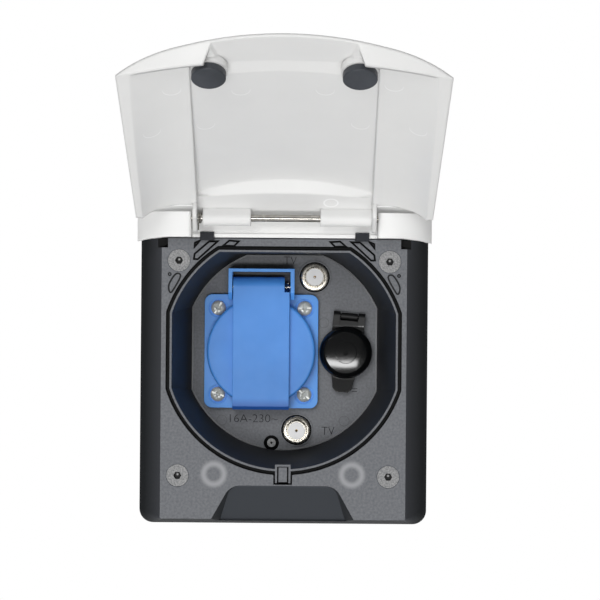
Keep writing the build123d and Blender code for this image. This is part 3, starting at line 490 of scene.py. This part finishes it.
# Black polyamide, moulded: matt and a little grey beside the cap.
BLACK_NUT = moulded("black_polyamide_matt", "#101112", "#16171a", 0.5, 0.8, 0.01)
# Pressed ferrite under a thin coat: a dull dark grey with a grainy face.
FERRITE = moulded("ferrite_disc_coated", "#33363b", "#42454b", 0.5, 0.8, 0.02)
# Moulded black rubber: soft and matt, with almost no highlight.
RUBBER = moulded("black_rubber_seal", "#151515", "#1d1d1d", 0.7, 0.8, 0.02)
# Black foam cut from a sheet: its open cells make a rough face that swallows light.
FOAM = moulded("black_foam_gasket", "#1b1b1c", "#262627", 0.9, 0.9, 0.12)
# White polyethylene, moulded: smooth, near white and faintly waxy.
WHITE_PE = moulded("white_polyethylene_insulator", "#f2f2f3", "#f8f8f8", 0.4, 0.8, 0.006, edge_mm=0.2)
# Pressed steel with a zinc flake coat: a dull, uneven grey metal.
COATED_STEEL = metal("zinc_flake_plate_steel", "#55575a", "#707275", 0.5, 0.35, 0.02)
# Blackened pin steel: nearly black, with a tight oily highlight.
BLACK_STEEL = metal("blackened_pin_steel", "#141414", "#1f1f1f", 0.3, 0.3, 0.006)
# Zinc-plated screw steel: its passivating film dulls the metal to a pale, faintly green grey.
ZINC = metal("passivated_zinc_screw_steel", "#c6cac6", "#dfe1de", 0.32, 0.4, 0.012, bare=0.35)
# Drawn stainless wire: bright and a little warm, with fine scratches.
WIRE = metal("drawn_stainless_wire", "#a9a6a0", "#c9c6c0", 0.24, 0.25, 0.004)
# Nickel plate over brass: warm and smooth, with clear reflections and crisp edges. The plating lies in
# slow waves of about 3 mm.
NICKEL = metal("nickel_plated_brass", "#c4bfb4", "#d0ccc3", 0.26, 3.0, 0.001, edge_mm=0.02)
# Turned brass: yellow with a soft gloss.
BRASS = metal("turned_brass", "#a8833f", "#c9a75c", 0.28, 0.3, 0.006)

# Wall screws with a zinc flake coat: speckled mid grey, with a near-black painted shade in the recess and a
# pale dot painted in for the light that the recess catches.
screw_x, screw_z = 44.6, 45.5
dot_rise = 0.4
wall_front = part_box("wall_screws")[0].y
wall_dots = on_face(
    wall_front + 1.6 * MM,
    *[(x, z + dot_rise) for x in (-screw_x, screw_x) for z in (-screw_z, screw_z)],
)
FLAKED_STEEL = flaked_steel(
    "zinc_flake_screw_steel", "#6c6d70", "#9c9c9b", wall_front, wall_dots, 0.7, "#c4c4c4"
)
# The plate's screw, with the same coat: paler, with a dark dot of painted shade in the middle of its head.
plate_low, plate_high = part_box("plate_screw")
plate_middle = (plate_low + plate_high) / 2
plate_dot = [(plate_middle.x + 0.2 * MM, plate_low.y, plate_middle.z + 0.1 * MM)]
PLATE_STEEL = flaked_steel(
    "zinc_flake_plate_screw", "#9a9b9c", "#c6c6c6", plate_low.y, plate_dot, 0.5, "#0a0a0b"
)

finishes = {
    ANTHRACITE: ("base", "cup"),
    PLATE_ABS: ("socket_plate",),
    WHITE_ABS: ("hinge_bar",),
    LID_ABS: ("lid",),
    BLUE_PA: ("schuko_insert",),
    FLAP_PA: ("schuko_flap",),
    FRAME_PA: ("schuko_frame",),
    BLACK_PP: ("dc_body", "dc_cap"),
    BLACK_NUT: ("dc_nut",),
    FERRITE: ("lid_magnets",),
    RUBBER: ("schuko_flap_seal",),
    FOAM: ("wall_gasket",),
    WHITE_PE: ("tv_upper_insulator", "tv_lower_insulator"),
    COATED_STEEL: ("catch_plates",),
    FLAKED_STEEL: ("wall_screws",),
    ZINC: ("schuko_terminals",),
    WIRE: ("hinge_pin", "lid_spring", "schuko_flap_pin", "schuko_flap_spring"),
    BLACK_STEEL: ("dc_cap_pin",),
    PLATE_STEEL: ("plate_screw",),
    NICKEL: ("tv_upper_body", "tv_lower_body", "tv_upper_nut", "tv_lower_nut", "schuko_earth"),
    BRASS: ("schuko_contacts", "dc_sleeve", "dc_contact", "tv_upper_contact", "tv_lower_contact"),
}
for material, names in finishes.items():
    for name in names:
        slots = nodes[name].data.materials
        for i in range(len(slots)):
            slots[i] = material


# Pieces that give the solids their moulded and pressed detail

def put(name, mesh, material, body):
    """A new piece that rides on a body."""
    mesh.materials.clear()
    mesh.materials.append(material)
    for face in mesh.polygons:
        face.use_smooth = True
        face.material_index = 0
    piece = bpy.data.objects.new(name, mesh)
    bpy.context.scene.collection.objects.link(piece)
    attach(piece, body)
    return piece


def made_mesh(name, work):
    """The mesh of a finished bmesh, which is freed."""
    mesh = bpy.data.meshes.new(name)
    work.to_mesh(mesh)
    work.free()
    return mesh


# A flange screw's head in millimetres: the fall of its dome at the rim, the slot, and the cross recess,
# whose arms and round middle are deepest at the centre.
DOME_FALL = 1.1
SLOT_HALF, SLOT_DEPTH = 0.55, 0.75
CROSS_HALF, CROSS_REACH, CROSS_MIDDLE_R = 0.5, 2.0, 0.95
CROSS_DEPTH, CROSS_TAPER = 1.2, 0.35


def head_depth(x, y, radius, turn):
    """How far a pan head's face lies behind its top, with a slot across it and a cross recess."""
    along = x * math.cos(turn) + y * math.sin(turn)
    over = -x * math.sin(turn) + y * math.cos(turn)
    out = math.hypot(x, y)
    depth = DOME_FALL * (out / radius) ** 4
    if abs(over) < SLOT_HALF:
        depth = max(depth, SLOT_DEPTH)
    if abs(along) < CROSS_HALF and out < CROSS_REACH or out < CROSS_MIDDLE_R:
        depth = max(depth, CROSS_DEPTH - CROSS_TAPER * out)
    return depth


def pan_heads(name, spots, top_y, radius, back_y, shank_r, shank_y):
    """Slotted cross-head screws at (x, z, turn in degrees), in millimetres: heads with their recesses,
    and shanks behind."""
    work = bmesh.new()
    half = 24
    for x0, z0, degrees in spots:
        turn = math.radians(degrees)
        # A square grid is pressed into a disc, so that the head has even faces and a round rim.
        rows = []
        for j in range(-half, half + 1):
            row = []
            for i in range(-half, half + 1):
                u, v = i / half, j / half
                x = radius * u * math.sqrt(1 - v * v / 2)
                z = radius * v * math.sqrt(1 - u * u / 2)
                y = top_y + head_depth(x, z, radius, turn)
                row.append(work.verts.new(((x0 + x) * MM, y * MM, (z0 + z) * MM)))
            rows.append(row)
        for j in range(2 * half):
            for i in range(2 * half):
                work.faces.new((rows[j][i], rows[j][i + 1], rows[j + 1][i + 1], rows[j + 1][i]))
        first_side, third_side = rows[0][:-1], rows[-1][:0:-1]
        second_side = [row[-1] for row in rows[:-1]]
        last_side = [row[0] for row in rows[:0:-1]]
        rim = first_side + second_side + third_side + last_side
        back = [work.verts.new((v.co.x, back_y * MM, v.co.z)) for v in rim]
        for k in range(len(rim)):
            n = (k + 1) % len(rim)
            work.faces.new((rim[n], rim[k], back[k], back[n]))
        work.faces.new(back)
        shank_middle = Matrix.Translation((x0 * MM, (back_y + shank_y) / 2 * MM, z0 * MM))
        bmesh.ops.create_cone(
            work,
            cap_ends=True,
            segments=24,
            radius1=shank_r * MM,
            radius2=shank_r * MM,
            depth=(shank_y - back_y) * MM,
            matrix=shank_middle @ Matrix.Rotation(math.radians(90), 4, "X"),
        )
    bmesh.ops.recalc_face_normals(work, faces=work.faces)
    return made_mesh(name, work)


# The flange's four screws. Their slots lie as the screws were left.
screw_low, screw_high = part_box("schuko_screws")
head_r = 3.3
left_x, right_x = screw_low.x / MM + head_r, screw_high.x / MM - head_r
low_z, high_z = screw_low.z / MM + head_r, screw_high.z / MM - head_r
flange_screws = pan_heads(
    "flange_screws",
    ((left_x, high_z, 58), (right_x, high_z, 2), (left_x, low_z, -18), (right_x, low_z, -40)),
    top_y=screw_low.y / MM + 0.02,
    radius=head_r - 0.1,
    back_y=screw_low.y / MM + 2.2,
    shank_r=1.4,
    shank_y=screw_high.y / MM,
)
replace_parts(put("flange_screws", flange_screws, ZINC, "panel"), "schuko_screws")


def turned_ring(name, middle_x, middle_z, profile):
    """A ring turned from a profile of (radius, y) millimetres."""
    work = bmesh.new()
    sides = 96
    rings = []
    for radius, y in profile:
        ring = []
        for k in range(sides):
            angle = 2 * math.pi * k / sides
            x = middle_x + radius * MM * math.cos(angle)
            z = middle_z + radius * MM * math.sin(angle)
            ring.append(work.verts.new((x, y * MM, z)))
        rings.append(ring)
    for one, two in zip(rings, rings[1:] + rings[:1]):
        for k in range(sides):
            n = (k + 1) % sides
            work.faces.new((one[k], one[n], two[n], two[k]))
    bmesh.ops.recalc_face_normals(work, faces=work.faces)
    return made_mesh(name, work)


# Slightly coned pressed collars, so that the lower half of each catches the light.
collar = ((4.15, 25.05), (4.4, 24.95), (5.9, 25.1), (6.15, 25.25), (6.2, 25.5), (4.15, 25.5))
for which in ("upper", "lower"):
    low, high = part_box("tv_" + which + "_contact")
    middle = (low + high) / 2
    name = "tv_" + which + "_collar"
    put(name, turned_ring(name, middle.x, middle.z, collar), NICKEL, "panel")


# Engraving on the plate and the base, drawn as painted shade

# How far the thin pieces that stand for engraving lie in front of their faces.
LEGEND_LIFT, GROOVE_LIFT = 0.02 * MM, 0.015 * MM
# Near-black thin pieces for the shallow engraving in the ABS: a painted shade where its strokes would hold
# shade.
ENGRAVING_SHADE = moulded("engraving_shade_legend", "#101113", "#16171a", 0.7, 0.8, 0.01)


def legend(name, words, x, z, tall_mm, wide_mm):
    """Thin words on the plate, with their middle at (x, z) millimetres."""
    letters = bpy.data.curves.new(name, "FONT")
    letters.body = words
    letters.align_x = "CENTER"
    letters.align_y = "CENTER"
    # A negative offset thins the strokes.
    letters.offset = -0.018
    letters.extrude = 0.01
    letters.materials.append(ENGRAVING_SHADE)
    piece = bpy.data.objects.new(name, letters)
    bpy.context.scene.collection.objects.link(piece)
    bpy.context.view_layer.update()
    across, up, _ = piece.dimensions
    piece.matrix_world = (
        Matrix.Translation((x * MM, plate_face - LEGEND_LIFT, z * MM))
        @ Matrix.Rotation(math.radians(90), 4, "X")
        @ Matrix.Diagonal((wide_mm * MM / across, tall_mm * MM / up, MM, 1))
    )
    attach(piece, "panel")


# Words, the place of their middle, and their height and width in millimetres.
legend("legend_tv_upper", "TV", 2.3, 46.3, 3.5, 5.6)
legend("legend_tv_lower", "TV", 19.5, -28.8, 3.5, 5.6)
legend("legend_mains", "16A-230~", -13.8, -23.5, 3.45, 21.2)
legend("legend_direct", "=", 31.1, -10.8, 1.5, 2.3)


def ribbon(work, points, width_mm, face_y):
    """A flat closed band of that width along the points (millimetres) at face_y, facing the front."""
    inner, outer = [], []
    count = len(points)
    for k, (x, z) in enumerate(points):
        before, after = Vector(points[k - 1]), Vector(points[(k + 1) % count])
        along = (after - before).normalized()
        out = Vector((along.y, -along.x)) * width_mm / 2
        inner.append(work.verts.new(((x - out.x) * MM, face_y, (z - out.y) * MM)))
        outer.append(work.verts.new(((x + out.x) * MM, face_y, (z + out.y) * MM)))
    for k in range(count):
        n = (k + 1) % count
        work.faces.new((inner[k], outer[k], outer[n], inner[n]))


def rounded(points, rounds=2):
    """Corners cut off again and again, until the line runs smooth."""
    for _ in range(rounds):
        cut = []
        for k, (x, z) in enumerate(points):
            x2, z2 = points[(k + 1) % len(points)]
            cut.append((0.75 * x + 0.25 * x2, 0.75 * z + 0.25 * z2))
            cut.append((0.25 * x + 0.75 * x2, 0.25 * z + 0.75 * z2))
        points = cut
    return points


# Outlines below the upper wall screws, in millimetres: a pad with round corners and a small ring, drawn as
# near-black bands that paint the shade of their grooves.
pad = [(43.4, 39.2), (45.2, 40.2), (46.7, 39.1), (48.9, 35.4), (48.9, 32.9), (48.0, 31.4), (46.4, 33.8)]
ring_x, ring_z, ring_r = 48.5, 39.6, 0.55
turns = [k * math.pi / 8 for k in range(16)]
small_ring = [(ring_x + ring_r * math.cos(turn), ring_z + ring_r * math.sin(turn)) for turn in turns]
groove_y = base_front - GROOVE_LIFT
groove_shade = bmesh.new()
for side in (-1, 1):
    for outline, width_mm in ((rounded(pad), 0.75), (small_ring, 0.6)):
        ribbon(groove_shade, [(side * x, z) for x, z in outline], width_mm, groove_y)
put("pad_groove_shade", made_mesh("pad_groove_shade", groove_shade), ENGRAVING_SHADE, "panel")


# Studio: floor, backdrop, light and camera

WHITE = (1, 1, 1, 1)
PANEL_MIDDLE = (0, 0, 0.02)


def stage_white():
    """Pale matt paper that shows plain white to the camera and sends soft light up to the object."""
    made, tree, _ = new_material("white_studio_paper")
    path = add(tree, "ShaderNodeLightPath").outputs["Is Camera Ray"]
    paper = add(tree, "ShaderNodeBsdfDiffuse", {"Color": linear("#f4f4f4")})
    glow = add(tree, "ShaderNodeEmission", {"Color": WHITE, "Strength": 1.0})
    both = add(tree, "ShaderNodeMixShader", {0: path, 1: paper.outputs[0], 2: glow.outputs[0]})
    add(tree, "ShaderNodeOutputMaterial", {"Surface": both.outputs[0]})
    return made


def studio_floor():
    """A wide floor far below the panel, which hangs free."""
    mesh = bpy.data.meshes.new("studio_floor")
    half, drop = 6.0, 2.2
    level = cad_box[0].z - drop
    corners = [(-half, -half, level), (half, -half, level), (half, half, level), (-half, half, level)]
    mesh.from_pydata(corners, [], [(0, 1, 2, 3)])
    mesh.materials.append(stage_white())
    floor = bpy.data.objects.new("studio_floor", mesh)
    bpy.context.scene.collection.objects.link(floor)


def soft_box(name, place, wide, tall, watts, aim=PANEL_MIDDLE, reflected=True):
    """A soft lamp in metres and watts, which may be kept out of reflections."""
    lamp = bpy.data.lights.new(name, "AREA")
    lamp.shape = "RECTANGLE"
    lamp.size = wide
    lamp.size_y = tall
    lamp.energy = watts
    box = bpy.data.objects.new(name, lamp)
    box.location = place
    box.rotation_euler = (Vector(aim) - Vector(place)).to_track_quat("-Z", "Y").to_euler()
    box.visible_glossy = reflected
    bpy.context.scene.collection.objects.link(box)


def studio_world():
    """White to the camera. Reflections see that white behind the object, a pale table below it and a dim
    room elsewhere, and matt surfaces get a low, even light."""
    dim_room, white, even_light = 0.12, 1.0, 0.25
    world = bpy.data.worlds.new("studio_world")
    world.use_nodes = True
    tree = world.node_tree
    tree.nodes.clear()
    path = add(tree, "ShaderNodeLightPath").outputs
    either = {0: path["Is Camera Ray"], 1: path["Is Transmission Ray"]}
    seen = add(tree, "ShaderNodeMath", either, operation="MAXIMUM").outputs[0]
    way = add(tree, "ShaderNodeTexCoord").outputs["Generated"]
    way = add(tree, "ShaderNodeSeparateXYZ", {0: way}).outputs
    levels = []
    # How far a direction has to point back, and then down, to leave the dim room for the white.
    for part, start, end in (("Y", 0.78, 0.95), ("Z", -0.35, -0.6)):
        change = {"Value": way[part], "From Min": start, "From Max": end, "To Min": dim_room, "To Max": white}
        levels.append(add(tree, "ShaderNodeMapRange", change).outputs[0])
    room = add(tree, "ShaderNodeMath", {0: levels[0], 1: levels[1]}, operation="MAXIMUM").outputs[0]
    mirrored = {"Factor": path["Is Glossy Ray"], "A": even_light, "B": room}
    unseen = add(tree, "ShaderNodeMix", mirrored).outputs[0]
    level = add(tree, "ShaderNodeMix", {"Factor": seen, "A": unseen, "B": white}).outputs[0]
    sky = add(tree, "ShaderNodeBackground", {"Color": WHITE, "Strength": level})
    add(tree, "ShaderNodeOutputWorld", {"Surface": sky.outputs[0]})
    bpy.context.scene.world = world


def photo_camera():
    """The photograph's view: square on, about 1.15 m off, lens centred a little above the panel's middle."""
    lens = bpy.data.cameras.new("photo_camera")
    lens.sensor_width = 36
    lens.lens = 160.3
    lens.clip_end = 50
    camera = bpy.data.objects.new("photo_camera", lens)
    eye = (6.7 * MM, -1154 * MM, 29.1 * MM)
    roll = math.radians(0.47)
    camera.matrix_world = (
        Matrix.Translation(eye)
        @ Matrix.Rotation(math.radians(90), 4, "X")
        @ Matrix.Rotation(roll, 4, "Z")
    )
    bpy.context.scene.collection.objects.link(camera)
    bpy.context.scene.camera = camera


studio_floor()
studio_world()
# A low, wide box in front draws the highlight on the cap.
soft_box("front_box", (-0.2, -2.9, -0.58), wide=1.7, tall=0.35, watts=28)
# The fill from the left reaches the lower half of the plate, and the bounce the underside of the lid.
soft_box("left_fill_box", (-0.4, -1.75, 0.7), wide=0.8, tall=0.8, watts=12, reflected=False)
soft_box("table_bounce", (-0.1, -1.15, -1.95), wide=2.0, tall=1.2, watts=23.5, reflected=False)
# Light on the upper edges, and on the back for the other views.
soft_box("top_box", (0.5, -1.6, 2.6), wide=1.5, tall=1.5, watts=6)
soft_box("back_box", (0.6, 2.8, 1.6), wide=2.0, tall=2.0, watts=40, aim=(0, 0, 0))
photo_camera()
bpy.context.scene.view_settings.view_transform = "Standard"
